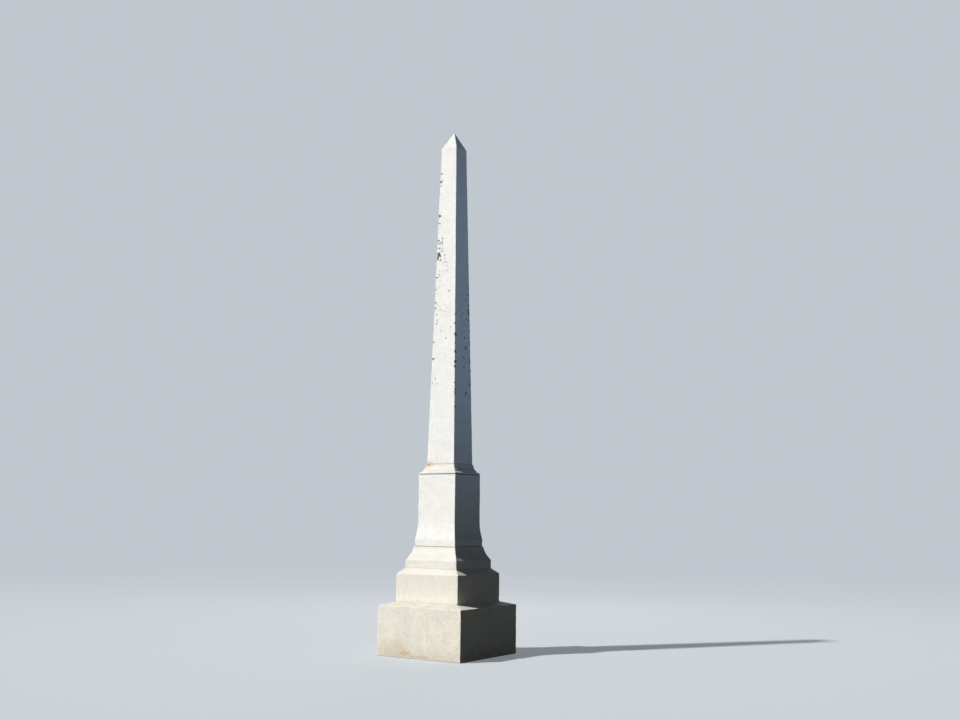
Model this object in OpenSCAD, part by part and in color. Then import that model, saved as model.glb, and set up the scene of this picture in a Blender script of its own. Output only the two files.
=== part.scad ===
// Granite obelisk monument: a tapered shaft with a pointed head, standing on a moulded cap, a tall die,
// a coved base and two stepped bases. Every stone is square in plan and centred on the upright axis.
// Millimetres, +Z up, origin at the middle of the bottom bed. The front face looks along -Y.

/* [Bed joints] */
// Thickness of the bedding between two stones
bed_t = 6; // [3:1:12]
// How far the bedding is raked back from the face of the stone above it
bed_rake = 7; // [3:1:15]
// Level margin left around the foot of a stone, at the head of the slope that sheds water below it
bed_margin = 3; // [0:1:8]

/* [Bottom base] */
// Width of the bottom base across its faces
bottom_base_w = 1460; // [1320:1:1600]
// Height of the upright faces of the bottom base
bottom_base_face_h = 714; // [500:1:900]
// Rise of the sloped top of the bottom base
bottom_base_wash_h = 48; // [15:1:90]

/* [Second base] */
// Width of the second base across its faces
second_base_w = 1092; // [960:1:1240]
// Height of the upright faces of the second base
second_base_face_h = 402; // [300:1:520]
// Rise of the sloped top of the second base
second_base_wash_h = 72; // [20:1:110]

/* [Moulded base] */
// Width of the moulded base across its band
moulded_base_w = 908; // [850:1:940]
// Height of the upright band at the foot of the moulded base
moulded_base_band_h = 118; // [60:1:180]
// Height of the hollow above the band
moulded_base_cove_h = 169; // [120:1:220]
// Radius of the hollow, which is a shallow arc and meets no face at a tangent
moulded_base_cove_r = 480; // [400:5:900]
// Height of the narrow upright edge above the hollow
moulded_base_fillet_h = 25; // [10:1:45]

/* [Die] */
// Width of the plain upper part of the die
die_w = 656; // [610:1:690]
// Height of the plain upper part of the die, up to the bed under the cap
die_plain_h = 669; // [500:1:900]
// How far the foot of the die stands out from its plain part, on each side
die_sweep_run = 31; // [18:1:40]
// Height of the swept part, where the die widens in one long arc
die_sweep_h = 280; // [180:1:380]
// Height of the upright band at the foot of the die
die_band_h = 98; // [60:1:140]
// Width of the ledge that the moulded base leaves around the foot of the die
die_ledge = 14; // [6:1:22]

/* [Cap] */
// How far the face of the cap lies back from the face of the die
cap_set_back = 2; // [0:1:6]
// Height of the upright edge at the foot of the cap
cap_band_h = 22; // [12:1:36]
// Height of the slope above that edge
cap_wash_h = 22; // [12:1:34]
// Height of the narrow upright edge between the slope and the hollow
cap_fillet_h = 16; // [6:1:26]
// How far the hollow of the cap cuts in, on each side
cap_cove_run = 32; // [18:1:44]
// Height of the hollow of the cap
cap_cove_h = 70; // [50:1:100]
// Height of the upright neck at the top of the cap
cap_neck_h = 16; // [8:1:30]
// Width of the ledge that the cap leaves around the foot of the shaft
cap_ledge = 14; // [6:1:22]

/* [Shaft] */
// Width of the shaft at its foot
shaft_foot_w = 486; // [450:1:500]
// Width of the shaft below its pointed head
shaft_head_w = 276; // [200:1:340]
// Height of the tapered shaft up to its pointed head
shaft_taper_h = 4882; // [3600:1:5600]
// Height of the pointed head
shaft_point_h = 272; // [180:1:420]

/* [Hidden] */

$fn = 180;

// Heights of the stones
bottom_base_h = bottom_base_face_h + bottom_base_wash_h;
second_base_h = second_base_face_h + second_base_wash_h;
moulded_base_h = moulded_base_band_h + moulded_base_cove_h + moulded_base_fillet_h;
die_h = die_band_h + die_sweep_h + die_plain_h;
cap_h = cap_band_h + cap_wash_h + cap_fillet_h + cap_cove_h + cap_neck_h;
shaft_h = shaft_taper_h + shaft_point_h;

// Levels of the lower beds of the stones
second_base_z = bottom_base_h + bed_t;
moulded_base_z = second_base_z + second_base_h + bed_t;
die_z = moulded_base_z + moulded_base_h + bed_t;
cap_z = die_z + die_h + bed_t;
shaft_z = cap_z + cap_h + bed_t;

// Widths that follow the stone above
die_foot_w = die_w + 2 * die_sweep_run;
moulded_base_top_w = die_foot_w + 2 * die_ledge;
cap_w = die_w - 2 * cap_set_back;
cap_neck_w = shaft_foot_w + 2 * cap_ledge;
cap_cove_foot_w = cap_neck_w + 2 * cap_cove_run;

// Radius of an arc that runs in by run over a height h and ends upright
function upright_arc_r(run, h) = (run * run + h * h) / (2 * run);

// Colours of the stones, from the warm and weathered bases up to the pale shaft
bottom_base_colour = "#cbc4b1";
second_base_colour = "#d3cdbd";
moulded_base_colour = "#dad6c9";
die_colour = "#e2e0d8";
cap_colour = "#e0dbcc";
shaft_colour = "#e4e2db";
bedding_colour = "#6d675c";

// Upright band of an elevation, on the centre line
module upright_band(w, z, h) {
    translate([-w / 2, z])
        square([w, h]);
}

// Band of an elevation with straight sloping sides
module sloped_band(foot_w, top_w, z, h) {
    polygon([
        [-foot_w / 2, z],
        [foot_w / 2, z],
        [top_w / 2, z + h],
        [-top_w / 2, z + h],
    ]);
}

// Band of an elevation whose sides are hollow arcs of radius r, from foot_w up to top_w
module hollow_band(foot_w, top_w, z, h, r) {
    run = (foot_w - top_w) / 2;
    side = norm([run, h]);
    reach = sqrt(r * r - side * side / 4);
    arc_x = (foot_w + top_w) / 4 + reach * h / side;
    arc_z = z + h / 2 + reach * run / side;
    difference() {
        upright_band(foot_w, z, h);
        for (way = [-1, 1])
            translate([way * arc_x, arc_z])
                circle(r = r);
    }
}

// Stone with the same elevation on all four sides, so that its mouldings meet in mitres at the corners
module square_stone(w) {
    intersection() {
        rotate([90, 0, 0])
            linear_extrude(w, center = true)
                children();
        rotate([90, 0, 90])
            linear_extrude(w, center = true)
                children();
    }
}

// Bedding under a stone that is w wide and has its lower bed at level z
module bedding(w, z) {
    side = w - 2 * bed_rake;
    color(bedding_colour)
        translate([-side / 2, -side / 2, z - bed_t])
            cube([side, side, bed_t]);
}

module bottom_base() {
    color(bottom_base_colour)
        square_stone(bottom_base_w) {
            upright_band(bottom_base_w, 0, bottom_base_face_h);
            sloped_band(
                bottom_base_w,
                second_base_w + 2 * bed_margin,
                bottom_base_face_h,
                bottom_base_wash_h
            );
        }
}

module second_base() {
    color(second_base_colour)
        translate([0, 0, second_base_z])
            square_stone(second_base_w) {
                upright_band(second_base_w, 0, second_base_face_h);
                sloped_band(
                    second_base_w,
                    moulded_base_w + 2 * bed_margin,
                    second_base_face_h,
                    second_base_wash_h
                );
            }
}

module moulded_base() {
    cove_z = moulded_base_band_h;
    fillet_z = cove_z + moulded_base_cove_h;
    color(moulded_base_colour)
        translate([0, 0, moulded_base_z])
            square_stone(moulded_base_w) {
                upright_band(moulded_base_w, 0, moulded_base_band_h);
                hollow_band(
                    moulded_base_w,
                    moulded_base_top_w,
                    cove_z,
                    moulded_base_cove_h,
                    moulded_base_cove_r
                );
                upright_band(moulded_base_top_w, fillet_z, moulded_base_fillet_h);
            }
}

module die() {
    sweep_r = upright_arc_r(die_sweep_run, die_sweep_h);
    color(die_colour)
        translate([0, 0, die_z])
            square_stone(die_foot_w) {
                upright_band(die_foot_w, 0, die_band_h);
                hollow_band(die_foot_w, die_w, die_band_h, die_sweep_h, sweep_r);
                upright_band(die_w, die_band_h + die_sweep_h, die_plain_h);
            }
}

module cap() {
    fillet_z = cap_band_h + cap_wash_h;
    cove_z = fillet_z + cap_fillet_h;
    neck_z = cove_z + cap_cove_h;
    cove_r = upright_arc_r(cap_cove_run, cap_cove_h);
    color(cap_colour)
        translate([0, 0, cap_z])
            square_stone(cap_w) {
                upright_band(cap_w, 0, cap_band_h);
                sloped_band(cap_w, cap_cove_foot_w, cap_band_h, cap_wash_h);
                upright_band(cap_cove_foot_w, fillet_z, cap_fillet_h);
                hollow_band(cap_cove_foot_w, cap_neck_w, cove_z, cap_cove_h, cove_r);
                upright_band(cap_neck_w, neck_z, cap_neck_h);
            }
}

module shaft() {
    color(shaft_colour)
        translate([0, 0, shaft_z])
            square_stone(shaft_foot_w)
                polygon([
                    [-shaft_foot_w / 2, 0],
                    [shaft_foot_w / 2, 0],
                    [shaft_head_w / 2, shaft_taper_h],
                    [0, shaft_h],
                    [-shaft_head_w / 2, shaft_taper_h],
                ]);
}

module second_base_bedding() {
    bedding(second_base_w, second_base_z);
}

module moulded_base_bedding() {
    bedding(moulded_base_w, moulded_base_z);
}

module die_bedding() {
    bedding(die_foot_w, die_z);
}

module cap_bedding() {
    bedding(cap_w, cap_z);
}

module shaft_bedding() {
    bedding(shaft_foot_w, shaft_z);
}

bottom_base();
second_base_bedding();
second_base();
moulded_base_bedding();
moulded_base();
die_bedding();
die();
cap_bedding();
cap();
shaft_bedding();
shaft();
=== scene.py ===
"""Looks of a granite obelisk monument, dressed stone by stone from the ground up."""

import math
import random

import bpy
import numpy as np
from mathutils import Matrix, Vector, noise
from mathutils.bvhtree import BVHTree


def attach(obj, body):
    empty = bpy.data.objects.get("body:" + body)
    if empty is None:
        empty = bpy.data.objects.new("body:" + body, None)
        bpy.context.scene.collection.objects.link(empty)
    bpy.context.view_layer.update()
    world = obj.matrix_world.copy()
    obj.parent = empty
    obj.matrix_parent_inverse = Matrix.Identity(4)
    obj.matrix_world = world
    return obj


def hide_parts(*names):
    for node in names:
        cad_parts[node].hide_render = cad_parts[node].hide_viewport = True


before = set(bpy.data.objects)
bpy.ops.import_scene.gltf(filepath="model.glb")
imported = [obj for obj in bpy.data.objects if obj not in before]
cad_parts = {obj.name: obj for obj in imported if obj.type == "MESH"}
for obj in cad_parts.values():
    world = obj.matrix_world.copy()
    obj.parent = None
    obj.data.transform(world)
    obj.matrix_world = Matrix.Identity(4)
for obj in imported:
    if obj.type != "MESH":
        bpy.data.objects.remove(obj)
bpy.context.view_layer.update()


# Bottom base
# One block of granite, split, sawn and axed square, with a top that slopes a little to shed the rain.
# It stands on the ground by its own weight. Its arrises have worn round and lost small chips, and rain
# has splashed soil against its foot.

TENTH_MM = 0.0001
LEVEL_DIGITS = 4


def elevation_of(node):
    """Half width and level of each corner of a stone's outline, from the bed up, read on one arris."""
    corners = {}
    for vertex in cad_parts[node].data.vertices:
        x, y, z = vertex.co
        if x >= 0 and abs(x + y) < TENTH_MM:
            corners[round(z, LEVEL_DIGITS)] = x
    return [np.array((corners[level], level)) for level in sorted(corners)]


# Distances from an arris at which its worn edge needs a row of points
ARRIS_STEPS = (0.0015, 0.004, 0.008, 0.014, 0.022, 0.034, 0.050)
FINE_SHARE = 0.45


def spaced(length, step, fine_start, fine_end):
    """Distances along a straight run: fine steps beside an arris, and even ones between."""
    close = [distance for distance in ARRIS_STEPS if distance < FINE_SHARE * length]
    head = [0.0, *close] if fine_start else [0.0]
    tail = [length, *(length - distance for distance in close)] if fine_end else [length]
    gap = tail[-1] - head[-1]
    count = max(1, math.ceil(gap / step))
    return head + [head[-1] + gap * i / count for i in range(1, count)] + tail[::-1]


def turn_between(toward, away):
    """The angle that an outline turns through at a corner, above zero where the corner stands out."""
    return math.atan2(toward[0] * away[1] - toward[1] * away[0], toward @ away)


# A corner that turns less than ARC_TURN is only a point on the arc of a hollow or a sweep
ARC_TURN = math.radians(10)
BROW_TURN = math.radians(30)
BED_LIP = 0.03
BED_LIP_SHARE = 0.8
EASE_SHARE = 0.4
EASE_PARTS = (0.0, 0.25, 0.5, 0.75)
FAR_OFF = 1.0


def rows_of(outline, ease, step):
    """The outline with eased corners, as rows of half width, level and distance to the nearest arris."""
    foot = outline[0] - (BED_LIP, 0)
    head = outline[-1] - (min(BED_LIP, BED_LIP_SHARE * outline[-1][0]), 0)
    line = [foot, *outline, head]
    runs = []
    start = foot
    from_arris = False
    for before, corner, after in zip(line, line[1:], line[2:]):
        toward = (corner - before) / np.linalg.norm(corner - before)
        away = (after - corner) / np.linalg.norm(after - corner)
        turn = turn_between(toward, away)
        if abs(turn) < ARC_TURN:
            runs.append((start, corner, from_arris, False, None))
            start, from_arris = corner, False
            continue
        shorter = min(np.linalg.norm(corner - before), np.linalg.norm(after - corner))
        reach = min(ease * math.tan(abs(turn) / 2), EASE_SHARE * shorter)
        arris = turn > BROW_TURN
        runs.append((start, corner - toward * reach, from_arris, arris, None))
        runs.append((corner - toward * reach, corner + away * reach, arris, arris, corner))
        start, from_arris = corner + away * reach, arris
    runs.append((start, head, from_arris, False, None))
    rows = []
    for begin, end, begin_arris, end_arris, corner in runs:
        if corner is not None:
            for part in EASE_PARTS:
                point = (1 - part) ** 2 * begin + 2 * part * (1 - part) * corner + part ** 2 * end
                rows.append((*point, 0.0 if begin_arris else FAR_OFF))
            continue
        length = np.linalg.norm(end - begin)
        for distance in spaced(length, step, begin_arris, end_arris)[:-1]:
            point = begin + (end - begin) * distance / length
            near = min(distance if begin_arris else FAR_OFF, length - distance if end_arris else FAR_OFF)
            rows.append((*point, near))
    rows.append((*head, FAR_OFF))
    return np.array(rows)


def ring_of(half, ease, step):
    """A square ring of unit half width with eased corners, and each point's distance to its arris."""
    run = 2 * (half - ease)
    points = []
    for quarter in range(4):
        angle = quarter * math.pi / 2
        out = np.array((math.sin(angle), -math.cos(angle)))
        along = np.array((math.cos(angle), math.sin(angle)))
        for distance in spaced(run, step, True, True):
            place = out * half + along * (distance - run / 2)
            points.append((*place, min(distance, run - distance)))
        for part in EASE_PARTS[1:]:
            swing = part * math.pi / 2
            round_the_corner = out * math.cos(swing) + along * math.sin(swing)
            points.append((*((out + along) * (half - ease) + ease * round_the_corner), 0.0))
    ring = np.array(points)
    return ring[:, :2] / half, ring[:, 2]


def ring_faces(rows, columns):
    """Faces that join rings of points stacked from the bottom up, closed at the bottom and the top."""
    faces = []
    for low in range(0, (rows - 1) * columns, columns):
        high = low + columns
        for column in range(columns):
            beside = (column + 1) % columns
            faces.append((low + column, low + beside, high + beside, high + column))
    faces.append(tuple(range(columns))[::-1])
    faces.append(tuple(range((rows - 1) * columns, rows * columns)))
    return faces


# A ball cuts each chip, with a radius of 5 to 10 times the chip's depth. Shallow chips are more common
SMALLEST_CHIP = 0.3
CHIP_SKEW = 1.5
CHIP_RADIUS_TO_DEPTH = (5, 10)
BROW_CHIPS = 0.5
BROW_REACH = 0.95
BROW_OUT, BROW_UP = 0.8, 0.6


def chips_on(node, seed, count, deepest):
    """Seeded small chips on a stone's arrises: a place on the arris, the way out, a radius and a depth."""
    dice = random.Random(seed)
    outline = elevation_of(node)
    halves, levels = zip(*outline)
    brows = []
    for below, here, above in zip(outline, outline[1:], outline[2:]):
        if turn_between(here - below, above - here) > BROW_TURN:
            brows.append(here)
    chips = []
    for _ in range(count):
        depth = deepest * dice.uniform(SMALLEST_CHIP, 1.0) ** CHIP_SKEW
        radius = depth * dice.uniform(*CHIP_RADIUS_TO_DEPTH)
        angle = dice.randrange(4) * math.pi / 2
        out = np.array((math.sin(angle), -math.cos(angle), 0))
        along = np.array((math.cos(angle), math.sin(angle), 0))
        if brows and dice.random() < BROW_CHIPS:
            half, level = dice.choice(brows)
            point = out * half + along * half * dice.uniform(-BROW_REACH, BROW_REACH)
            way = BROW_OUT * out + np.array((0, 0, BROW_UP))
        else:
            level = dice.uniform(levels[0], levels[-1])
            point = (out + along) * np.interp(level, levels, halves)
            way = (out + along) / math.sqrt(2)
        chips.append((point + np.array((0, 0, level)), way, radius, depth))
    return chips


# Depths and reach are in metres, and waves are counted to the metre
FACE_WAVER = 0.0008
WAVER_WAVES = 5
ARRIS_WEAR = 0.0032
WEAR_REACH = 0.006
WEAR_WAVES, FINE_WEAR_WAVES = 11, 37
WEAR_EVERYWHERE, FINE_WEAR_SHARE = 0.35, 0.5
WEAR_SKEW = 1.5
MOST_LOSS = 0.3


def wear_down(points, normals, near):
    """Makes the faces waver and the arrises worn, always inward; gives how worn each point is."""
    worn = np.exp(-near / WEAR_REACH)
    for i, point in enumerate(points):
        place = Vector(point)
        patches = noise.noise(place * WEAR_WAVES) + FINE_WEAR_SHARE * noise.noise(place * FINE_WEAR_WAVES)
        worn[i] *= max(0.0, WEAR_EVERYWHERE + patches)
        waver = (1 + noise.noise(place * WAVER_WAVES)) / 2
        loss = FACE_WAVER * waver + ARRIS_WEAR * worn[i] ** WEAR_SKEW
        points[i] -= normals[i] * min(loss, MOST_LOSS * max(abs(point[0]), abs(point[1])))
    return worn


CHIP_WAVES = 90
CHIP_ROUGHNESS = 0.04
CHIP_EDGE = 0.4
CHIP_MARGIN = 1.1


def knock_off(points, chips):
    """Cuts a rough round hollow for each chip; gives how freshly broken each point is."""
    chipped = np.zeros(len(points))
    for place, way, radius, depth in chips:
        centre = place + way * (radius - depth)
        for i in np.flatnonzero(np.linalg.norm(points - centre, axis=1) < CHIP_MARGIN * radius):
            rough = radius * (1 + CHIP_ROUGHNESS * noise.noise(Vector(points[i]) * CHIP_WAVES))
            offset = points[i] - centre
            length = np.linalg.norm(offset)
            if length < rough:
                chipped[i] = max(chipped[i], min(1.0, (rough - length) / (CHIP_EDGE * depth)))
                points[i] = centre + offset * rough / length
    return chipped


def smooth_mesh(name, points, faces, material):
    """A smoothly shaded mesh of one material."""
    mesh = bpy.data.meshes.new(name)
    mesh.from_pydata(points, [], faces)
    mesh.shade_smooth()
    mesh.materials.append(material)
    return mesh


def add_object(name, data):
    """Puts a mesh, a lamp or a camera into the scene."""
    thing = bpy.data.objects.new(name, data)
    bpy.context.scene.collection.objects.link(thing)
    return thing


def cut_stone(node, name, material, chips, ease=0.003, row_step=0.014, column_step=0.010, blunt=0.0):
    """A dressed stone in place of a CAD node: eased, worn and chipped arrises on wavering faces."""
    outline = elevation_of(node)
    if blunt:
        outline[-1] = outline[-1] + (blunt, -blunt)
    half = max(corner[0] for corner in outline)
    rows = rows_of(outline, ease, row_step)
    ring, ring_near = ring_of(half, ease, column_step)
    points = np.empty((len(rows), len(ring), 3))
    points[:, :, :2] = rows[:, None, :1] * ring[None, :, :]
    points[:, :, 2] = rows[:, 1:2]
    points = points.reshape(-1, 3)
    near = np.minimum(rows[:, 2:3], ring_near * rows[:, :1] / half).ravel()
    mesh = smooth_mesh(name, points.tolist(), ring_faces(len(rows), len(ring)), material)
    mesh.update()
    normals = np.empty(points.size)
    mesh.vertex_normals.foreach_get("vector", normals)
    levels = points[:, 2].copy()
    beds = np.isclose(levels, outline[0][1]) | np.isclose(levels, outline[-1][1])

    worn = wear_down(points, normals.reshape(-1, 3), near)
    chipped = knock_off(points, chips)
    points[beds, 2] = levels[beds]
    mesh.vertices.foreach_set("co", points.astype(np.float32).ravel())
    for label, values in (("worn", worn), ("chipped", chipped)):
        mesh.attributes.new(label, "FLOAT", "POINT").data.foreach_set("value", values.astype(np.float32))
    mesh.update()
    stone = add_object(name, mesh)
    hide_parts(node)
    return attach(stone, "root")


def add_node(tree, kind, properties=(), sockets=()):
    """One shader node; each of its sockets takes a plain value or the output of another node."""
    node = tree.nodes.new(kind)
    for label, value in dict(properties).items():
        setattr(node, label, value)
    for label, value in dict(sockets).items():
        if isinstance(value, bpy.types.NodeSocket):
            tree.links.new(value, node.inputs[label])
        else:
            node.inputs[label].default_value = value
    return node


def maths(tree, operation, *terms):
    """The result of one sum or product of values."""
    return add_node(tree, "ShaderNodeMath", {"operation": operation}, enumerate(terms)).outputs[0]


def vector_maths(tree, operation, *terms):
    """The results of one sum or product of vectors, or a vector's length as Value."""
    return add_node(tree, "ShaderNodeVectorMath", {"operation": operation}, enumerate(terms)).outputs


# The sockets of a Mix node that take and give colours
MIX_FACTOR, MIX_UNDER, MIX_OVER, MIX_RESULT = 0, 6, 7, 2


def blend(tree, factor, under, over, way="MIX"):
    """One colour laid over another."""
    sockets = {MIX_FACTOR: factor, MIX_UNDER: under, MIX_OVER: over}
    node = add_node(tree, "ShaderNodeMix", {"data_type": "RGBA", "blend_type": way}, sockets)
    return node.outputs[MIX_RESULT]


def ramp(tree, value, low, high, bottom=0.0, top=1.0):
    """A value eased from bottom to top as it goes from low to high."""
    sockets = {"Value": value, "From Min": low, "From Max": high, "To Min": bottom, "To Max": top}
    return add_node(tree, "ShaderNodeMapRange", {"interpolation_type": "SMOOTHSTEP"}, sockets).outputs[0]


def cloud(tree, place, breadth, detail=3.0, roughness=0.5):
    """Soft random values that vary over the given breadth."""
    per_metre = maths(tree, "DIVIDE", 1.0, breadth)
    sockets = {"Vector": place, "Scale": per_metre, "Detail": detail, "Roughness": roughness}
    return add_node(tree, "ShaderNodeTexNoise", {}, sockets).outputs[0]


def cells(tree, place, per_metre):
    """Random cells, so many to the metre, with a random colour and the distance to the middle of each."""
    return add_node(tree, "ShaderNodeTexVoronoi", {}, {"Vector": place, "Scale": per_metre}).outputs


def channels(tree, colour):
    """The three channels of a colour."""
    return add_node(tree, "ShaderNodeSeparateColor", {}, {"Color": colour}).outputs


def grey(tree, value):
    """A grey of the given value."""
    sockets = {"Red": value, "Green": value, "Blue": value}
    return add_node(tree, "ShaderNodeCombineColor", {}, sockets).outputs[0]


def upright_part(tree, vector):
    """The upright part of a vector, which is the level of a place."""
    return add_node(tree, "ShaderNodeSeparateXYZ", {}, {0: vector}).outputs["Z"]


def stretched(tree, place, level_factor, upright_factor):
    """A place with its level distances and its upright ones multiplied."""
    sockets = {"X": level_factor, "Y": level_factor, "Z": upright_factor}
    factors = add_node(tree, "ShaderNodeCombineXYZ", {}, sockets).outputs[0]
    return vector_maths(tree, "MULTIPLY", place, factors)[0]


CLOUD_MEAN = 0.5


def ragged_edge(tree, distance, clouds, raggedness):
    """A distance shifted to and fro by soft random values, so that what ends there has a ragged edge."""
    return maths(tree, "MULTIPLY_ADD", maths(tree, "SUBTRACT", clouds, CLOUD_MEAN), raggedness, distance)


def shader_group(name, inputs, outputs):
    """An empty node group with named sockets: its tree, its inputs by name and its output node."""
    tree = bpy.data.node_groups.new(name, "ShaderNodeTree")
    for label, value in inputs.items():
        kind = "NodeSocketVector" if isinstance(value, tuple) else "NodeSocketFloat"
        socket = tree.interface.new_socket(label, in_out="INPUT", socket_type=kind)
        socket.default_value = value
    for label, kind in outputs.items():
        tree.interface.new_socket(label, in_out="OUTPUT", socket_type="NodeSocket" + kind)
    return tree, tree.nodes.new("NodeGroupInput").outputs, tree.nodes.new("NodeGroupOutput")


def use_group(tree, group, **sockets):
    """The outputs of a node group, given its inputs by name with _ for a space."""
    sockets = {label.replace("_", " "): value for label, value in sockets.items()}
    return add_node(tree, "ShaderNodeGroup", {"node_tree": group}, sockets).outputs


def finish_group(tree, result, **sockets):
    """Links what a node group puts out."""
    for label, value in sockets.items():
        tree.links.new(value, result.inputs[label])
    return tree


QUARTZ_TONE = (0.80, 0.82, 0.86, 1)
WHITE_FELDSPAR_TONE = (1.07, 1.07, 1.06, 1)
WARM_FELDSPAR_TONE = (1.10, 1.05, 0.98, 1)
QUARTZ_UP_TO = 0.30
WARM_FELDSPAR_FROM = 0.80
FLAKES_TO_A_CRYSTAL = 2.3


def make_grain():
    """Crystals of white and warm feldspar, cool quartz and black mica flakes, as a tone of mean 1."""
    tree, given, result = shader_group(
        "granite_grain",
        {"Vector": (0, 0, 0), "Crystal Size": 0.004, "Flake Share": 0.055},
        {"Tone": "Color", "Flakes": "Float", "Height": "Float"},
    )
    crystals = cells(tree, given["Vector"], maths(tree, "DIVIDE", 1.0, given["Crystal Size"]))
    flakes_per_metre = maths(tree, "DIVIDE", FLAKES_TO_A_CRYSTAL, given["Crystal Size"])
    flakes = cells(tree, given["Vector"], flakes_per_metre)
    draw = channels(tree, crystals["Color"])
    flake_draw = channels(tree, flakes["Color"])
    minerals = add_node(tree, "ShaderNodeValToRGB", {}, {"Fac": draw["Red"]})
    minerals.color_ramp.interpolation = "CONSTANT"
    bands = minerals.color_ramp.elements
    bands[0].color = QUARTZ_TONE
    bands[1].position = QUARTZ_UP_TO
    bands[1].color = WHITE_FELDSPAR_TONE
    bands.new(WARM_FELDSPAR_FROM).color = WARM_FELDSPAR_TONE
    stone_share = maths(tree, "SUBTRACT", 1.0, given["Flake Share"])
    dark = maths(tree, "GREATER_THAN", flake_draw["Red"], stone_share)
    height = maths(tree, "SUBTRACT", draw["Green"], dark)
    return finish_group(tree, result, Tone=minerals.outputs["Color"], Flakes=dark, Height=height)


def make_mottling():
    """Cloudy light and dark, from hand-sized to arm-long patches, as a shade of mean 1."""
    tree, given, result = shader_group(
        "mottling", {"Vector": (0, 0, 0), "Strength": 0.06}, {"Shade": "Float"},
    )
    broad = cloud(tree, given["Vector"], breadth=0.45)
    small = cloud(tree, given["Vector"], breadth=0.05)
    both = maths(tree, "SUBTRACT", maths(tree, "ADD", broad, small), 2 * CLOUD_MEAN)
    shade = maths(tree, "MULTIPLY_ADD", both, maths(tree, "MULTIPLY", given["Strength"], 2.0), 1.0)
    return finish_group(tree, result, Shade=shade)


def make_film_and_top_shade():
    """Thin grey film of dirt and algae in ragged clouds, and dirt and painted shade on what faces the sky.
    """
    tree, given, result = shader_group(
        "weather_film_and_top_shade", {"Vector": (0, 0, 0), "Amount": 0.3, "Ledge Cover": 0.05}, {"Mask": "Float"},
    )
    clouds = cloud(tree, given["Vector"], breadth=0.16, detail=6.0, roughness=0.62)
    film = ramp(tree, clouds, low=0.42, high=0.72)
    up = upright_part(tree, tree.nodes.new("ShaderNodeNewGeometry").outputs["Normal"])
    ledge = maths(tree, "MULTIPLY", ramp(tree, up, low=0.0, high=0.7), given["Ledge Cover"])
    return finish_group(tree, result, Mask=maths(tree, "MULTIPLY_ADD", film, given["Amount"], ledge))


def make_runs():
    """Narrow upright streaks where rain water runs down a face."""
    tree, given, result = shader_group(
        "rain_runs",
        {"Vector": (0, 0, 0), "Breadth": 0.025, "Length": 0.7, "Amount": 0.3},
        {"Mask": "Float"},
    )
    wide = maths(tree, "DIVIDE", 1.0, given["Breadth"])
    tall = maths(tree, "DIVIDE", 1.0, given["Length"])
    streaks = cloud(tree, stretched(tree, given["Vector"], wide, tall), breadth=1.0, detail=2.0)
    patches = ramp(tree, cloud(tree, given["Vector"], breadth=0.6, detail=2.0), low=0.38, high=0.66)
    mask = maths(tree, "MULTIPLY", ramp(tree, streaks, low=0.50, high=0.72), patches)
    return finish_group(tree, result, Mask=maths(tree, "MULTIPLY", mask, given["Amount"]))


def make_splash():
    """Dirt thrown up by rain, ragged at its top edge and fading with height above a level."""
    tree, given, result = shader_group(
        "rain_splash", {"Vector": (0, 0, 0), "Level": 0.0, "Height": 0.1}, {"Mask": "Float"},
    )
    above = maths(tree, "SUBTRACT", upright_part(tree, given["Vector"]), given["Level"])
    rise = maths(tree, "DIVIDE", above, given["Height"])
    clouds = cloud(tree, given["Vector"], breadth=0.09, detail=5.0, roughness=0.6)
    fade = ragged_edge(tree, rise, clouds, raggedness=1.6)
    return finish_group(tree, result, Mask=ramp(tree, fade, low=0.0, high=1.0, bottom=1.0, top=0.0))


def make_stain():
    """One stain: a ragged patch about a centre, with a half width along each axis."""
    tree, given, result = shader_group(
        "stain_patch",
        {"Vector": (0, 0, 0), "Centre": (0, 0, 0), "Spread": (1, 1, 1), "Grain": 0.03},
        {"Mask": "Float"},
    )
    offset = vector_maths(tree, "SUBTRACT", given["Vector"], given["Centre"])[0]
    far = vector_maths(tree, "LENGTH", vector_maths(tree, "DIVIDE", offset, given["Spread"])[0])["Value"]
    clouds = cloud(tree, given["Vector"], given["Grain"], detail=6.0, roughness=0.75)
    edge = ragged_edge(tree, far, clouds, raggedness=1.8)
    return finish_group(tree, result, Mask=ramp(tree, edge, low=0.3, high=1.0, bottom=1.0, top=0.0))


RIPPLES_PER_METRE = 160.0
RIPPLE = (0.02, 0.02, 0.02)
SPECK_SIZE, SPECK_SIZE_RANGE = 0.10, 0.24


def make_specks():
    """Small ragged specks of black lichen, scattered in loose colonies."""
    tree, given, result = shader_group(
        "lichen_specks", {"Vector": (0, 0, 0), "Spacing": 0.02, "Share": 0.1}, {"Mask": "Float"},
    )
    sockets = {"Vector": given["Vector"], "Scale": RIPPLES_PER_METRE, "Detail": 3.0}
    ripple = add_node(tree, "ShaderNodeTexNoise", {}, sockets).outputs["Color"]
    ragged = vector_maths(tree, "MULTIPLY_ADD", ripple, RIPPLE, given["Vector"])[0]
    spots = cells(tree, ragged, maths(tree, "DIVIDE", 1.0, given["Spacing"]))
    draw = channels(tree, spots["Color"])
    clouds = cloud(tree, given["Vector"], breadth=0.3)
    colony = ramp(tree, clouds, low=0.45, high=0.68, bottom=0.1, top=1.6)
    kept = maths(tree, "LESS_THAN", draw["Red"], maths(tree, "MULTIPLY", given["Share"], colony))
    size = maths(tree, "MULTIPLY_ADD", draw["Green"], SPECK_SIZE_RANGE, SPECK_SIZE)
    beyond = maths(tree, "SUBTRACT", spots["Distance"], size)
    spot = ramp(tree, beyond, low=-0.16, high=0.10, bottom=0.9, top=0.0)
    return finish_group(tree, result, Mask=maths(tree, "MULTIPLY", spot, kept))


FURROW_BREADTH_TO_LENGTH = 0.08
PIT_RELIEF = 0.6


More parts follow.
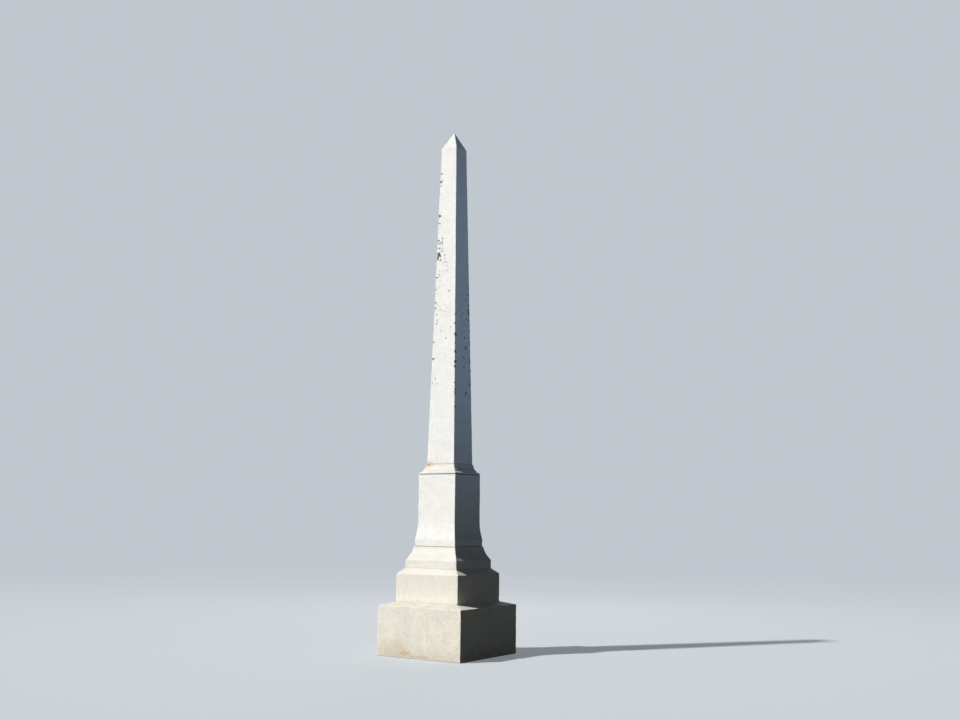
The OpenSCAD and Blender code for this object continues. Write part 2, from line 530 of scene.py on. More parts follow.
def make_tooling():
    """Fine upright furrows of the patent axe, broken up, with small pits."""
    tree, given, result = shader_group(
        "axed_finish", {"Vector": (0, 0, 0), "Pitch": 0.003}, {"Height": "Float"},
    )
    wide = maths(tree, "DIVIDE", 1.0, given["Pitch"])
    tall = maths(tree, "DIVIDE", FURROW_BREADTH_TO_LENGTH, given["Pitch"])
    furrows = cloud(tree, stretched(tree, given["Vector"], wide, tall), breadth=1.0, detail=1.0)
    pits = cloud(tree, given["Vector"], breadth=0.006)
    return finish_group(tree, result, Height=maths(tree, "MULTIPLY_ADD", pits, PIT_RELIEF, furrows))


grain_group = make_grain()
mottling_group = make_mottling()
film_and_top_shade_group = make_film_and_top_shade()
runs_group = make_runs()
splash_group = make_splash()
stain_group = make_stain()
specks_group = make_specks()
tooling_group = make_tooling()


def new_look(name):
    """A new material: the material, its node tree, its shader and the place on the object."""
    material = bpy.data.materials.new(name)
    material.use_nodes = True
    tree = material.node_tree
    place = tree.nodes.new("ShaderNodeTexCoord").outputs["Object"]
    return material, tree, tree.nodes["Principled BSDF"], place


def overlay(material, mask, colour, way="MIX"):
    """Lays one more colour over what feeds the Base Color of a material."""
    tree = material.node_tree
    shader = tree.nodes["Principled BSDF"]
    under = shader.inputs["Base Color"].links[0].from_socket
    tree.links.new(blend(tree, mask, under, colour, way), shader.inputs["Base Color"])


def emboss(tree, shader, height, depth):
    """Gives a shader fine relief, from a height and the depth in metres that it stands for."""
    bump = add_node(tree, "ShaderNodeBump", {}, {"Distance": depth, "Height": height})
    tree.links.new(bump.outputs["Normal"], shader.inputs["Normal"])


FILM_AND_TOP_SHADE_COLOUR = (0.30, 0.297, 0.28, 1)
RUN_COLOUR = (0.34, 0.33, 0.29, 1)
FLAKE_COLOUR = (0.085, 0.085, 0.09, 1)
SPECK_COLOUR = (0.075, 0.068, 0.055, 1)
FRESH_GAIN = 1.06
FRESH_SHARE = 0.35
STONE_ROUGHNESS = 0.86
FLAKE_SMOOTHNESS = 0.35
CRYSTAL_RELIEF = 0.3


def granite(name, body, film, runs, mottling, specks, ledge=0.5, axe_depth=0.0004, splash=None):
    """Granite with so much of each kind of weathering, and an axed finish of the given depth.

    splash is the level, height, colour and strength of the dirt that rain throws up above a ledge.
    """
    material, tree, shader, place = new_look(name)
    grain = use_group(tree, grain_group, Vector=place)
    shade = use_group(tree, mottling_group, Vector=place, Strength=mottling)["Shade"]
    tree.links.new(blend(tree, 1.0, body, grain["Tone"], "MULTIPLY"), shader.inputs["Base Color"])
    overlay(material, 1.0, grey(tree, shade), "MULTIPLY")
    overlay(material, grain["Flakes"], FLAKE_COLOUR)
    # The film also lies on what faces the sky, as much as ledge says: partly dirt, partly painted shade on
    # tops that take more light.
    film_and_top_shade_mask = use_group(tree, film_and_top_shade_group, Vector=place, Amount=film, Ledge_Cover=ledge)["Mask"]
    overlay(material, film_and_top_shade_mask, FILM_AND_TOP_SHADE_COLOUR)
    overlay(material, use_group(tree, runs_group, Vector=place, Amount=runs)["Mask"], RUN_COLOUR)
    if splash:
        level, height, colour, strength = splash
        mask = use_group(tree, splash_group, Vector=place, Level=level, Height=height)["Mask"]
        overlay(material, maths(tree, "MULTIPLY", mask, strength), colour)
    worn = add_node(tree, "ShaderNodeAttribute", {"attribute_name": "worn"}).outputs["Fac"]
    chipped = add_node(tree, "ShaderNodeAttribute", {"attribute_name": "chipped"}).outputs["Fac"]
    fresh = tuple(min(1.0, FRESH_GAIN * part) for part in body)
    overlay(material, maths(tree, "MULTIPLY", maths(tree, "MAXIMUM", worn, chipped), FRESH_SHARE), fresh)
    overlay(material, use_group(tree, specks_group, Vector=place, Share=specks)["Mask"], SPECK_COLOUR)
    roughness = maths(tree, "MULTIPLY_ADD", grain["Flakes"], -FLAKE_SMOOTHNESS, STONE_ROUGHNESS)
    tree.links.new(roughness, shader.inputs["Roughness"])
    furrows = use_group(tree, tooling_group, Vector=place)["Height"]
    kept = maths(tree, "SUBTRACT", 1.0, maths(tree, "MINIMUM", worn, 1.0))
    crystals = maths(tree, "MULTIPLY", grain["Height"], CRYSTAL_RELIEF)
    emboss(tree, shader, maths(tree, "MULTIPLY_ADD", furrows, kept, crystals), axe_depth)
    return material


def stain(material, colour, centre, spread, strength, grain=0.03):
    """Adds one stain patch to a granite or mortar material."""
    tree = material.node_tree
    place = tree.nodes["Texture Coordinate"].outputs["Object"]
    mask = use_group(tree, stain_group, Vector=place, Centre=centre, Spread=spread, Grain=grain)["Mask"]
    overlay(material, maths(tree, "MULTIPLY", mask, strength), colour)


GROUND = 0.0
SOIL_COLOUR = (0.60, 0.50, 0.38, 1)
OCHRE_COLOUR = (0.56, 0.37, 0.18, 1)
base_half, brow_level = elevation_of("bottom_base")[1]
bottom_base_look = granite(
    "bottom_base_granite", body=(0.865, 0.83, 0.73, 1), film=0.14, runs=0.07, mottling=0.09, specks=0.02,
    ledge=0.65, axe_depth=0.0009, splash=(GROUND, 0.24, SOIL_COLOUR, 0.45),
)
for colour, centre, spread, strength, patch_grain in (
    (SOIL_COLOUR, (-0.40, -base_half, 0.10), (0.36, 0.3, 0.22), 0.4, 0.03),
    (OCHRE_COLOUR, (-0.21, -base_half, 0.075), (0.12, 0.3, 0.045), 0.55, 0.06),
    (OCHRE_COLOUR, (-0.28, -base_half, 0.05), (0.07, 0.3, 0.03), 0.45, 0.05),
    (OCHRE_COLOUR, (0.04, -base_half, 0.034), (0.27, 0.3, 0.018), 0.5, 0.05),
    (OCHRE_COLOUR, (base_half, -0.1, 0.05), (0.3, 0.18, 0.035), 0.45, 0.05),
    (OCHRE_COLOUR, (0.25, base_half, 0.035), (0.3, 0.3, 0.02), 0.45, 0.05),
):
    stain(bottom_base_look, colour, centre, spread, strength, patch_grain)

BROW_CHIP_RADIUS, BROW_CHIP_DEPTH = 0.055, 0.009
brow_chip_place = np.array((0.207, -base_half, brow_level))
brow_chip = (brow_chip_place, np.array((0, -BROW_OUT, BROW_UP)), BROW_CHIP_RADIUS, BROW_CHIP_DEPTH)
bottom_base_chips = [brow_chip, *chips_on("bottom_base", seed=11, count=15, deepest=0.009)]
cut_stone(
    "bottom_base", "bottom_base_stone", bottom_base_look, bottom_base_chips, ease=0.004,
)


# Second base and its bed
# A smaller granite block with a steeper sloped top, bedded on the first in lime and cement mortar.
# The mason struck the joint nearly flush, and its mortar is the colour of the stone.

CAD_RAKE = 0.007
JOINT_EASE = 0.003
JOINT_STEP = 0.009
JOINT_BULGE = 0.0006
BULGE_FROM, BULGE_TO = 0.3, 0.7
HOLLOW_WAVES, PIT_WAVES = 9, 45
PIT_SHARE = 0.6
HOLLOW_FLATNESS = 3


def point_joint(node, name, material, set_back, waver, seed):
    """Mortar in place of a bedding node, with its face set back from that of the stone above it."""
    corners = np.array([vertex.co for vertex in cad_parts[node].data.vertices])
    low, high = corners[:, 2].min(), corners[:, 2].max()
    front = corners[:, 0].max() + CAD_RAKE - set_back
    ring, _ = ring_of(front, JOINT_EASE, JOINT_STEP)
    profile = [
        (-BED_LIP, low), (0, low),
        (JOINT_BULGE, low + BULGE_FROM * (high - low)), (JOINT_BULGE, low + BULGE_TO * (high - low)),
        (0, high), (-BED_LIP, high),
    ]
    points = []
    for proud, level in profile:
        for x, y in ring:
            place = Vector((x * front, y * front, HOLLOW_FLATNESS * level + seed))
            loss = max(0.0, noise.noise(place * HOLLOW_WAVES) + PIT_SHARE * noise.noise(place * PIT_WAVES))
            half = front + proud - waver * loss
            points.append((x * half, y * half, level))
    joint = add_object(name, smooth_mesh(name, points, ring_faces(len(profile), len(ring)), material))
    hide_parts(node)
    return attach(joint, "root")


SAND_SIZE = 0.0012
DARK_SAND_SHARE = 0.04
SAND_DEPTH = 0.0005
MORTAR_ROUGHNESS = 0.95


def mortar(name, body, dirt):
    """Sandy mortar with grains of sand and dark dirt in its hollows."""
    material, tree, shader, place = new_look(name)
    sand = use_group(tree, grain_group, Vector=place, Crystal_Size=SAND_SIZE, Flake_Share=DARK_SAND_SHARE)
    tree.links.new(blend(tree, 1.0, body, sand["Tone"], "MULTIPLY"), shader.inputs["Base Color"])
    clouds = cloud(tree, place, breadth=0.12, detail=5.0, roughness=0.6)
    overlay(material, ramp(tree, clouds, low=0.35, high=0.65, bottom=0.0, top=dirt), SPECK_COLOUR)
    shader.inputs["Roughness"].default_value = MORTAR_ROUGHNESS
    emboss(tree, shader, sand["Height"], SAND_DEPTH)
    return material


pale_mortar = mortar("pale_mortar", body=(0.74, 0.70, 0.61, 1), dirt=0.12)
point_joint("second_base_bedding", "second_base_joint", pale_mortar, set_back=0.0008, waver=0.002, seed=1)

MOSS_COLOUR = (0.30, 0.28, 0.20, 1)
RUST_COLOUR = (0.42, 0.20, 0.14, 1)
second_half, second_foot = elevation_of("second_base")[0]
second_base_look = granite(
    "second_base_granite", body=(0.855, 0.82, 0.73, 1), film=0.12, runs=0.08, mottling=0.06, specks=0.02,
    axe_depth=0.0008, splash=(second_foot, 0.05, MOSS_COLOUR, 0.14),
)
stain(second_base_look, RUST_COLOUR, (second_half, 0.10, 0.86), spread=(0.2, 0.17, 0.08), strength=0.16)
second_base_chips = chips_on("second_base", seed=12, count=10, deepest=0.008)
cut_stone("second_base", "second_base_stone", second_base_look, second_base_chips)


# Moulded base and its bed
# A granite block with an upright band and a hollow worked along all four sides, mitred at the corners. It
# narrows to the foot of the die, and it stands on the second base in a flush bed of the same mortar.

point_joint("moulded_base_bedding", "moulded_base_joint", pale_mortar, set_back=0.0, waver=0.0015, seed=2)

moulded_foot = elevation_of("moulded_base")[0][1]
moulded_base_look = granite(
    "moulded_base_granite", body=(0.845, 0.83, 0.78, 1), film=0.12, runs=0.08, mottling=0.07, specks=0.02,
    splash=(moulded_foot, 0.03, MOSS_COLOUR, 0.08),
)
moulded_base_chips = chips_on("moulded_base", seed=13, count=9, deepest=0.006)
cut_stone(
    "moulded_base", "moulded_base_stone", moulded_base_look, moulded_base_chips,
    ease=0.0025,
)


# Die and its bed
# A tall granite block, axed fine, that widens in one long sweep to an upright band at its foot. Most of
# the mortar that it was bedded on has washed out, which leaves an open joint, coloured nearly black as
# painted shade.

# Nearly black: painted shade of the deep open joints, laid over the mortar's own dirt.
dark_mortar_and_joint_shade = mortar("dark_mortar_and_joint_shade", body=(0.11, 0.09, 0.07, 1), dirt=0.6)
point_joint("die_bedding", "die_joint", dark_mortar_and_joint_shade, set_back=0.006, waver=0.004, seed=3)

JOINT_DIRT_AND_SHADE = (0.10, 0.08, 0.06, 1)


def bed_grime_and_shade(material, level, reach, strength):
    """Darkens a stone in a band at the given level: dirt and painted shade by an open joint, or painted
    shade in a corner.
    """
    tree = material.node_tree
    place = tree.nodes["Texture Coordinate"].outputs["Object"]
    away = maths(tree, "ABSOLUTE", maths(tree, "SUBTRACT", upright_part(tree, place), level))
    ragged = maths(tree, "MULTIPLY", cloud(tree, place, breadth=0.05, detail=4.0), 2 * reach)
    overlay(material, ramp(tree, away, low=0.0, high=ragged, bottom=strength, top=0.0), JOINT_DIRT_AND_SHADE)


die_outline = elevation_of("die")
die_foot, die_top = die_outline[0][1], die_outline[-1][1]
# Its high ledge darkens the sweep at its foot, which faces the sky more than the face: painted shade.
die_look = granite(
    "die_granite", body=(0.935, 0.935, 0.92, 1), film=0.08, runs=0.07, mottling=0.04, specks=0.015,
    ledge=0.9, splash=(die_foot, 0.13, MOSS_COLOUR, 0.08),
)
# Dirt and painted shade in bands beside the open joints at the foot and the top of the die.
bed_grime_and_shade(die_look, die_foot, reach=0.003, strength=0.4)
bed_grime_and_shade(die_look, die_top, reach=0.006, strength=0.9)
die_chips = chips_on("die", seed=14, count=9, deepest=0.006)
cut_stone("die", "die_stone", die_look, die_chips, ease=0.0025)


# Cap and its bed
# A low granite block with a small slope, a narrow upright edge and a hollow up to the foot of the shaft,
# laid on the die in a thin bed that has washed out as well. Yellow and rust-brown stains have crept down
# from the joint above, most of all at the left corner of the front.

point_joint("cap_bedding", "cap_joint", dark_mortar_and_joint_shade, set_back=0.009, waver=0.004, seed=4)

YELLOW_CREEP = (0.66, 0.58, 0.36, 1)
TAN_CREEP = (0.66, 0.55, 0.38, 1)
BROWN_CREEP = (0.62, 0.48, 0.27, 1)
RUST_BROWN = (0.36, 0.26, 0.15, 1)
cap_outline = elevation_of("cap")
cap_foot, cap_top = cap_outline[0][1], cap_outline[-1][1]
slope_head = cap_outline[2][1]
neck_half = cap_outline[-1][0]
cap_look = granite(
    "cap_granite", body=(0.815, 0.80, 0.765, 1), film=0.14, runs=0.10, mottling=0.06, specks=0.02,
)
# Dirt and painted shade beside the open joint under the cap, and painted shade in the corner at the head
# of its slope.
bed_grime_and_shade(cap_look, cap_foot, reach=0.005, strength=0.9)
bed_grime_and_shade(cap_look, slope_head, reach=0.006, strength=0.35)
for colour, centre, spread, strength in (
    (YELLOW_CREEP, (-0.24, -0.27, cap_top - 0.05), (0.12, 0.12, 0.06), 0.35),
    (TAN_CREEP, (-0.10, -neck_half, cap_top - 0.01), (0.22, 0.1, 0.035), 0.25),
    (BROWN_CREEP, (-0.22, -0.26, cap_top - 0.01), (0.11, 0.12, 0.045), 0.8),
    (RUST_BROWN, (-0.205, -0.26, cap_top), (0.07, 0.1, 0.015), 0.8),
):
    stain(cap_look, colour, centre, spread, strength)
cap_chips = chips_on("cap", seed=15, count=7, deepest=0.004)
cut_stone(
    "cap", "cap_stone", cap_look, cap_chips,
    ease=0.002, row_step=0.008, column_step=0.008,
)


# Shaft and its bed
# One long granite block with four tapered faces and a pointed head, lifted on to a thin bed of mortar that
# is now grey and stained. Rain has left faint upright streaks on its faces and stains at its foot, and its
# arrises are a little worn.

grey_mortar = mortar("grey_mortar", body=(0.42, 0.38, 0.31, 1), dirt=0.5)
stain(grey_mortar, RUST_BROWN, (-0.205, -0.25, cap_top), spread=(0.08, 0.1, 0.03), strength=0.8)
point_joint("shaft_bedding", "shaft_joint", grey_mortar, set_back=0.003, waver=0.004, seed=5)

TAN_WASH = (0.66, 0.52, 0.33, 1)
YELLOW_WASH = (0.70, 0.63, 0.46, 1)
PALE_WASH = (0.90, 0.92, 0.95, 1)
shaft_half, shaft_foot = elevation_of("shaft")[0]
# Its ledge darkens the pointed head, which faces the sky: painted shade.
shaft_look = granite(
    "shaft_granite", body=(0.925, 0.925, 0.915, 1), film=0.06, runs=0.11, mottling=0.04, specks=0.03,
    ledge=0.62, splash=(shaft_foot, 0.025, MOSS_COLOUR, 0.25),
)
for colour, centre, spread, strength, patch_grain in (
    (TAN_WASH, (-0.20, -shaft_half, shaft_foot), (0.07, 0.1, 0.08), 0.6, 0.03),
    (YELLOW_WASH, (-0.05, -shaft_half, shaft_foot), (0.30, 0.1, 0.10), 0.25, 0.03),
    (PALE_WASH, (shaft_half, -0.17, shaft_foot + 0.1), (0.1, 0.02, 0.22), 0.5, 0.1),
):
    stain(shaft_look, colour, centre, spread, strength, patch_grain)
shaft_chips = chips_on("shaft", seed=16, count=26, deepest=0.006)
shaft = cut_stone(
    "shaft", "shaft_stone", shaft_look, shaft_chips,
    ease=0.0025, column_step=0.02, blunt=0.0015,
)


# Lichen on the shaft
# Black crusts of lichen hold on to the stone. They grow in colonies, thickest on the weathered left side
# of the front and along the arrises, and on the other faces too. Each is a thin raised disc with a lobed
# edge, closed underneath, and most have a few flecks beside them.

# The way that each face and arris looks, in degrees round from the front
FRONT, LEFT_ARRIS, NEAR_ARRIS, RIGHT, FAR_ARRIS, BACK, LEFT = 0, -45, 45, 90, 135, 180, 270
CRUST_RIM = 24
FLECK_RIM = 10
NARROWEST = 0.6
LOBES = ((2, 0.14), (3, 0.17), (5, 0.13), (8, 0.09))
CRUST_MIDDLE = 0.0012
CRUST_RINGS = ((0.45, 0.0014), (0.85, 0.0010), (1.0, -0.0006))
shaft_surface = BVHTree.FromObject(shaft, bpy.context.evaluated_depsgraph_get())
lichen_dice = random.Random(7)
crust_corners = []
crust_faces = []


def grow_crust(facing, across, level, radius, rim):
    """One crust on the shaft: a lobed disc draped on the stone, proud inside and tucked in at its rim."""
    angle = math.radians(facing)
    out = Vector((math.sin(angle), -math.cos(angle), 0))
    along = Vector((math.cos(angle), math.sin(angle), 0))
    squash = lichen_dice.uniform(NARROWEST, 1.0)
    lean = lichen_dice.uniform(0, math.pi)
    lobes = [(number, depth, lichen_dice.uniform(0, 2 * math.pi)) for number, depth in LOBES]
    spots = [(0.0, 0.0, CRUST_MIDDLE)]
    for share, proud in CRUST_RINGS:
        for i in range(rim):
            swing = 2 * math.pi * i / rim
            lobed = 1 + sum(depth * math.sin(number * swing + turn) for number, depth, turn in lobes)
            u = share * radius * lobed * math.cos(swing)
            v = share * radius * lobed * math.sin(swing) * squash
            turned_u = u * math.cos(lean) - v * math.sin(lean)
            turned_v = u * math.sin(lean) + v * math.cos(lean)
            spots.append((turned_u, turned_v, proud))
    corners = []
    for u, v, proud in spots:
        start = out + along * (across + u) + Vector((0, 0, level + v))
        hit, normal, _, _ = shaft_surface.ray_cast(start, -out)
        if hit is None:
            return
        corners.append(hit + normal * proud)
    first = len(crust_corners)
    crust_corners.extend(corners)
    for i in range(rim):
        beside = (i + 1) % rim
        inner, inner_beside = first + 1 + i, first + 1 + beside
        crust_faces.append((first, inner, inner_beside))
        for ring_start in (0, rim):
            low, low_beside = inner + ring_start, inner_beside + ring_start
            crust_faces.append((low, low + rim, low_beside + rim, low_beside))
    crust_faces.append(tuple(range(first + 1 + 2 * rim, first + 1 + 3 * rim))[::-1])


MOST_FLECKS = 4
FLECK_DISTANCE = (1.1, 2.2)
FLECK_SIZE = (0.12, 0.32)


def grow_colony(facing, across, level, width, height, count, largest, smallest=0.65):
    """Crusts scattered about a spot on the shaft, thickest in the middle, each with flecks round it."""
    for _ in range(count):
        radius = largest * lichen_dice.uniform(smallest, 1.0)
        u = lichen_dice.gauss(across, width / 2)
        v = lichen_dice.gauss(level, height / 2)
        grow_crust(facing, u, v, radius, CRUST_RIM)
        for _ in range(lichen_dice.randrange(MOST_FLECKS + 1)):
            swing = lichen_dice.uniform(0, 2 * math.pi)
            away = radius * lichen_dice.uniform(*FLECK_DISTANCE)
            fleck = radius * lichen_dice.uniform(*FLECK_SIZE)
            grow_crust(facing, u + away * math.cos(swing), v + away * math.sin(swing), fleck, FLECK_RIM)


# The thick patches and thin scatters on the front
for across, level, width, height, count, largest in (
    (-0.145, 5.965, 0.036, 0.036, 22, 0.015), (-0.158, 5.905, 0.010, 0.020, 9, 0.013),
    (-0.15, 6.19, 0.018, 0.010, 6, 0.013), (-0.12, 6.14, 0.040, 0.018, 6, 0.010),
    (-0.073, 6.18, 0.012, 0.07, 9, 0.010), (-0.13, 6.06, 0.030, 0.018, 4, 0.010),
    (0.00, 5.74, 0.080, 0.10, 5, 0.009), (-0.07, 5.08, 0.080, 0.10, 6, 0.009),
    (-0.13, 3.95, 0.050, 0.10, 4, 0.009),
):
    grow_colony(FRONT, across, level, width, height, count, largest)
# Single crusts and small groups on the front
for across, level, count, largest in (
    (-0.11, 5.945, 2, 0.012), (-0.105, 5.87, 2, 0.012), (-0.08, 6.015, 3, 0.011), (-0.03, 5.945, 2, 0.010),
    (-0.015, 5.90, 1, 0.011), (0.02, 5.70, 2, 0.011), (-0.12, 5.63, 1, 0.012), (0.045, 5.54, 1, 0.012),
    (0.065, 5.38, 2, 0.012), (-0.135, 5.36, 1, 0.010), (-0.12, 5.17, 1, 0.011), (-0.15, 5.03, 2, 0.011),
    (-0.13, 4.94, 2, 0.011), (-0.145, 4.89, 2, 0.011), (0.13, 4.81, 1, 0.010), (-0.07, 4.78, 1, 0.010),
    (0.03, 4.65, 2, 0.010), (-0.135, 4.05, 1, 0.011), (-0.185, 3.99, 3, 0.010), (0.01, 3.46, 1, 0.010),
):
    grow_colony(FRONT, across, level, width=0.006, height=0.010, count=count, largest=largest)
# Crusts along the two arrises of the front
for level, count, largest in (
    (7.25, 2, 0.014), (7.12, 3, 0.016), (7.06, 2, 0.011), (6.93, 1, 0.012), (6.57, 4, 0.018),
    (6.46, 2, 0.011), (4.61, 2, 0.014), (4.35, 2, 0.016),
):
    grow_colony(LEFT_ARRIS, 0.014, level, width=0.010, height=0.012, count=count, largest=largest)
for level in (4.70, 4.57, 4.44, 4.29, 3.88, 3.82, 3.62):
    grow_colony(NEAR_ARRIS, 0.010, level, width=0.008, height=0.02, count=3, largest=0.013)
# The right face, and the far arris behind it
FAR_COLONIES, FAR_LOWEST, FAR_SPACING = 18, 3.8, 0.1
for across, level, count, largest in (
    (0.075, 4.54, 6, 0.016), (0.09, 4.50, 4, 0.012), (0.03, 4.37, 4, 0.014), (0.04, 4.24, 3, 0.011),
    (0.055, 4.68, 3, 0.012), (0.10, 4.98, 2, 0.013), (0.08, 3.84, 5, 0.014), (0.05, 3.80, 2, 0.011),
):
    grow_colony(RIGHT, across, level, width=0.014, height=0.014, count=count, largest=largest)
grow_colony(RIGHT, 0.05, 5.1, width=0.20, height=0.5, count=18, largest=0.012, smallest=0.3)
for step in range(FAR_COLONIES):
    level = FAR_LOWEST + FAR_SPACING * step
    grow_colony(FAR_ARRIS, -0.012, level, width=0.016, height=0.08, count=3, largest=0.016, smallest=0.25)
# The back and the left face
for side, across, level, width, height, count in (
    (BACK, 0.05, 5.2, 0.20, 0.9, 34), (BACK, 0.09, 5.5, 0.06, 0.20, 14),
    (BACK, 0.02, 4.8, 0.05, 0.08, 10), (BACK, -0.08, 3.9, 0.20, 0.7, 22),
    (BACK, -0.12, 4.1, 0.05, 0.12, 9), (LEFT, 0.06, 6.0, 0.12, 0.4, 22),
    (LEFT, 0.10, 5.95, 0.03, 0.08, 14), (LEFT, 0.02, 6.2, 0.04, 0.06, 6),
    (LEFT, -0.05, 4.9, 0.18, 0.6, 24), (LEFT, -0.02, 5.1, 0.05, 0.08, 8),
):
    grow_colony(side, across, level, width, height, count, largest=0.017, smallest=0.2)
# More crusts among and below those on the front and its two arrises
for across, level, width, height, count, largest in (
    (-0.145, 5.95, 0.034, 0.012, 8, 0.013), (-0.13, 5.98, 0.020, 0.012, 3, 0.012),
    (-0.15, 5.92, 0.020, 0.008, 3, 0.012), (-0.108, 5.935, 0.006, 0.006, 1, 0.012),
    (-0.108, 5.888, 0.006, 0.006, 2, 0.011), (-0.085, 6.14, 0.035, 0.020, 4, 0.010),
    (-0.09, 6.055, 0.050, 0.010, 3, 0.010), (-0.02, 5.83, 0.050, 0.020, 4, 0.009),
    (-0.165, 5.61, 0.028, 0.006, 4, 0.012), (-0.125, 5.655, 0.006, 0.006, 1, 0.012),
    (-0.145, 5.19, 0.006, 0.006, 1, 0.010), (-0.03, 5.50, 0.200, 0.250, 8, 0.008),
):
    grow_colony(FRONT, across, level, width, height, count, largest)
for level in (5.61, 5.43, 5.215, 5.13):
    grow_colony(LEFT_ARRIS, 0.010, level, width=0.006, height=0.008, count=2, largest=0.012)
for level, count in ((5.02, 1), (4.88, 2), (4.70, 7), (4.45, 4), (4.29, 5), (4.22, 3), (3.97, 3)):
    grow_colony(NEAR_ARRIS, 0.006, level, width=0.006, height=0.014, count=count, largest=0.014)

LICHEN_COLOUR = (0.034, 0.029, 0.023, 1)
LICHEN_PALE = (0.14, 0.125, 0.095, 1)
LICHEN_ROUGHNESS = 0.95
LICHEN_DEPTH = 0.0006
UNDERSIDE_TURN = math.radians(100)
lichen_look, lichen_tree, lichen_shader, lichen_place = new_look("black_lichen")
lichen_clouds = cloud(lichen_tree, lichen_place, breadth=0.004, detail=4.0)
lichen_shade = ramp(lichen_tree, lichen_clouds, low=0.38, high=0.68)
lichen_colour = blend(lichen_tree, lichen_shade, LICHEN_COLOUR, LICHEN_PALE)
lichen_tree.links.new(lichen_colour, lichen_shader.inputs["Base Color"])
lichen_shader.inputs["Roughness"].default_value = LICHEN_ROUGHNESS
emboss(lichen_tree, lichen_shader, cloud(lichen_tree, lichen_place, breadth=0.0025), LICHEN_DEPTH)

crust_mesh = smooth_mesh("lichen_crusts", crust_corners, crust_faces, lichen_look)
crust_mesh.set_sharp_from_angle(angle=UNDERSIDE_TURN)
crusts = add_object("lichen_crusts", crust_mesh)
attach(crusts, "root")


# Floor and backdrop
# A plain pale studio floor takes the shadow and melts into a pale backdrop. They are this pale only to
# the camera and in gloss and glass: the light that they throw on the stone is far dimmer, so that its
# shaded sides stay in shade.

FLOOR_REACH = 150.0
FLOOR_PALE = (0.47, 0.495, 0.52, 1)
BACKDROP = (0.53, 0.57, 0.615, 1)
TOP_FILL = (0.016, 0.026, 0.044, 1)
SIDE_FILL = (0.047, 0.056, 0.050, 1)


def mix_shaders(tree, share, under, over):
    """One shader laid over another."""
    sockets = {0: share, 1: under.outputs[0], 2: over.outputs[0]}
    return add_node(tree, "ShaderNodeMixShader", {}, sockets)


def show_apart(tree, output_name, to_the_stone, to_the_eye):
    """Ends a node tree in two shaders: what lights the stone, and what the camera, gloss and glass see."""
    ray = tree.nodes.new("ShaderNodeLightPath").outputs
    camera_or_gloss = maths(tree, "ADD", ray["Is Camera Ray"], ray["Is Glossy Ray"])
    seen = maths(tree, "MINIMUM", maths(tree, "ADD", camera_or_gloss, ray["Is Transmission Ray"]), 1.0)
    both = mix_shaders(tree, seen, to_the_stone, to_the_eye)
    tree.links.new(both.outputs[0], tree.nodes[output_name].inputs["Surface"])


floor_look, floor_tree, floor_shader, floor_place = new_look("pale_floor")
floor_tree.nodes.remove(floor_shader)
floor_far = vector_maths(floor_tree, "LENGTH", floor_place)["Value"]
floor_melt = ramp(floor_tree, floor_far, low=3.0, high=30.0, bottom=0.35, top=1.0)
bounce = ramp(floor_tree, floor_far, low=1.0, high=10.0, bottom=0.02, top=0.045)
pale_cloth = add_node(floor_tree, "ShaderNodeBsdfDiffuse", {}, {"Color": FLOOR_PALE})
backdrop_glow = add_node(floor_tree, "ShaderNodeEmission", {}, {"Color": BACKDROP})
# Near the stone about a third of what the camera sees of the floor is the backdrop's glow: painted light,
# which keeps the floor's shadow pale.
melting_cloth = mix_shaders(floor_tree, floor_melt, pale_cloth, backdrop_glow)
dim_cloth = add_node(floor_tree, "ShaderNodeBsdfDiffuse", {}, {"Color": grey(floor_tree, bounce)})
show_apart(floor_tree, "Material Output", to_the_stone=dim_cloth, to_the_eye=melting_cloth)

floor_corners = [(x * FLOOR_REACH, y * FLOOR_REACH, 0) for x, y in ((-1, -1), (1, -1), (1, 1), (-1, 1))]
floor_mesh = bpy.data.meshes.new("floor")
floor_mesh.from_pydata(floor_corners, [], [(0, 1, 2, 3)])
floor_mesh.materials.append(floor_look)
floor = add_object("floor", floor_mesh)

world = bpy.data.worlds.new("studio")
world.use_nodes = True
sky = world.node_tree
sky_rise = upright_part(sky, sky.nodes.new("ShaderNodeTexCoord").outputs["Generated"])
fill_colour = blend(sky, ramp(sky, sky_rise, low=0.1, high=0.8), SIDE_FILL, TOP_FILL)
fill_light = add_node(sky, "ShaderNodeBackground", {}, {"Color": fill_colour})
backdrop = add_node(sky, "ShaderNodeBackground", {}, {"Color": BACKDROP})
show_apart(sky, "World Output", to_the_stone=fill_light, to_the_eye=backdrop)
bpy.context.scene.world = world


# Lamps
# A soft-edged key lamp, high on the left of the front, lights the front and sends slivers of light past
# the near arris on to the sloped tops. A weak, cool, tall lamp fills the shade of the shaft on the right,
# in a narrow beam that leaves the bases dimmer. A broad one behind lights the back.

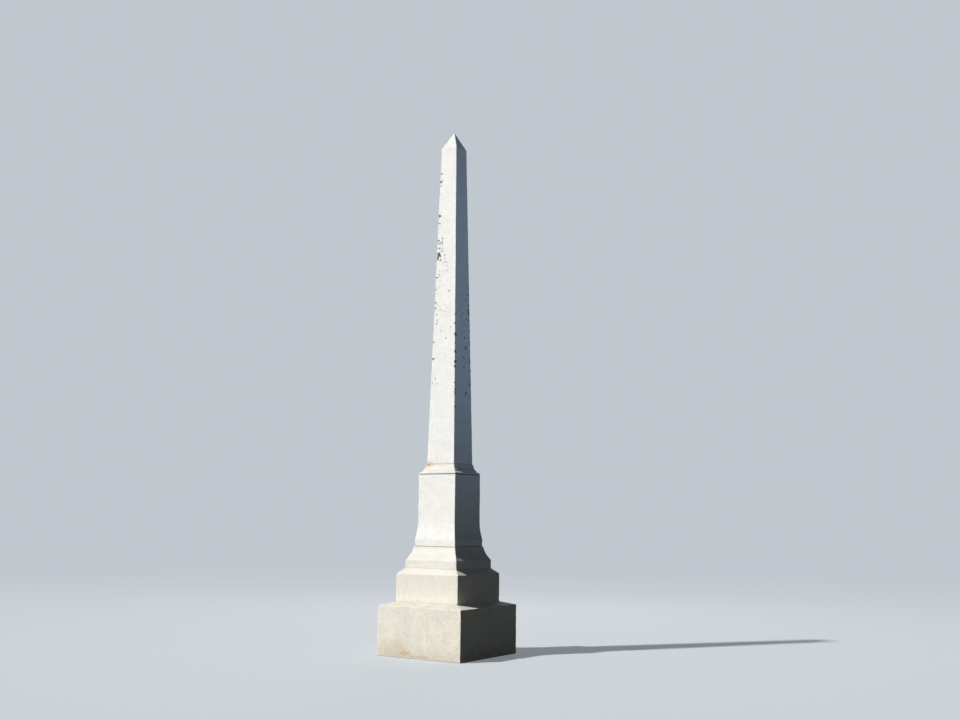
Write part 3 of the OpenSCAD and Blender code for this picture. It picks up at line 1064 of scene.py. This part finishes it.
KEY_AZIMUTH = math.radians(-35)
KEY_ELEVATION = math.radians(49)
KEY_STRENGTH = 5.6
KEY_SOFTNESS = math.radians(2)
KEY_COLOUR = (1.0, 0.985, 0.955)
key = bpy.data.lights.new("key", "SUN")
key.energy = KEY_STRENGTH
key.angle = KEY_SOFTNESS
key.color = KEY_COLOUR
key_light = add_object("key", key)
key_light.rotation_euler = (math.pi / 2 - KEY_ELEVATION, 0, KEY_AZIMUTH)


def hang_lamp(name, place, aim, watts, width, height, beam, colour):
    """A panel lamp at a place, turned toward another, with a beam of so many degrees."""
    light = bpy.data.lights.new(name, "AREA")
    light.energy = watts
    light.shape = "RECTANGLE"
    light.size = width
    light.size_y = height
    light.spread = math.radians(beam)
    light.color = colour
    lamp = add_object(name, light)
    lamp.location = place
    lamp.rotation_euler = (Vector(aim) - Vector(place)).to_track_quat("-Z", "Y").to_euler()
    lamp.visible_camera = False


hang_lamp(
    "right_fill", place=(6.5, 1.8, 5.8), aim=(0, 0, 5.6), watts=7.6, width=2.0, height=5.4, beam=38,
    colour=(0.385, 0.60, 1.0),
)
hang_lamp(
    "back_fill", place=(-5.0, 10.0, 8.0), aim=(0, 0, 3.0), watts=240, width=5.0, height=5.0, beam=180,
    colour=(0.80, 0.90, 1.0),
)


# Camera
# It is held at eye height, about 17 m from the axis and off the near corner, with a 42 mm lens on a full
# frame. It is tipped up a little and is not quite level.

SENSOR_WIDTH_MM = 36
LENS_MM = 42.0
CAMERA_AZIMUTH = math.radians(35.08)
CAMERA_DISTANCE = 16.825
EYE_HEIGHT = 1.984
HEADING = math.radians(33.60)
PITCH = math.radians(8.02)
ROLL = math.radians(0.58)
camera = bpy.data.cameras.new("camera")
camera.sensor_width = SENSOR_WIDTH_MM
camera.lens = LENS_MM
camera_object = add_object("camera", camera)
camera_place = Vector((math.sin(CAMERA_AZIMUTH), -math.cos(CAMERA_AZIMUTH), 0)) * CAMERA_DISTANCE
camera_object.matrix_world = (
    Matrix.Translation(camera_place + Vector((0, 0, EYE_HEIGHT)))
    @ Matrix.Rotation(HEADING, 4, "Z")
    @ Matrix.Rotation(math.pi / 2 + PITCH, 4, "X")
    @ Matrix.Rotation(ROLL, 4, "Z")
)
bpy.context.scene.camera = camera_object
bpy.context.scene.view_settings.view_transform = "Standard"
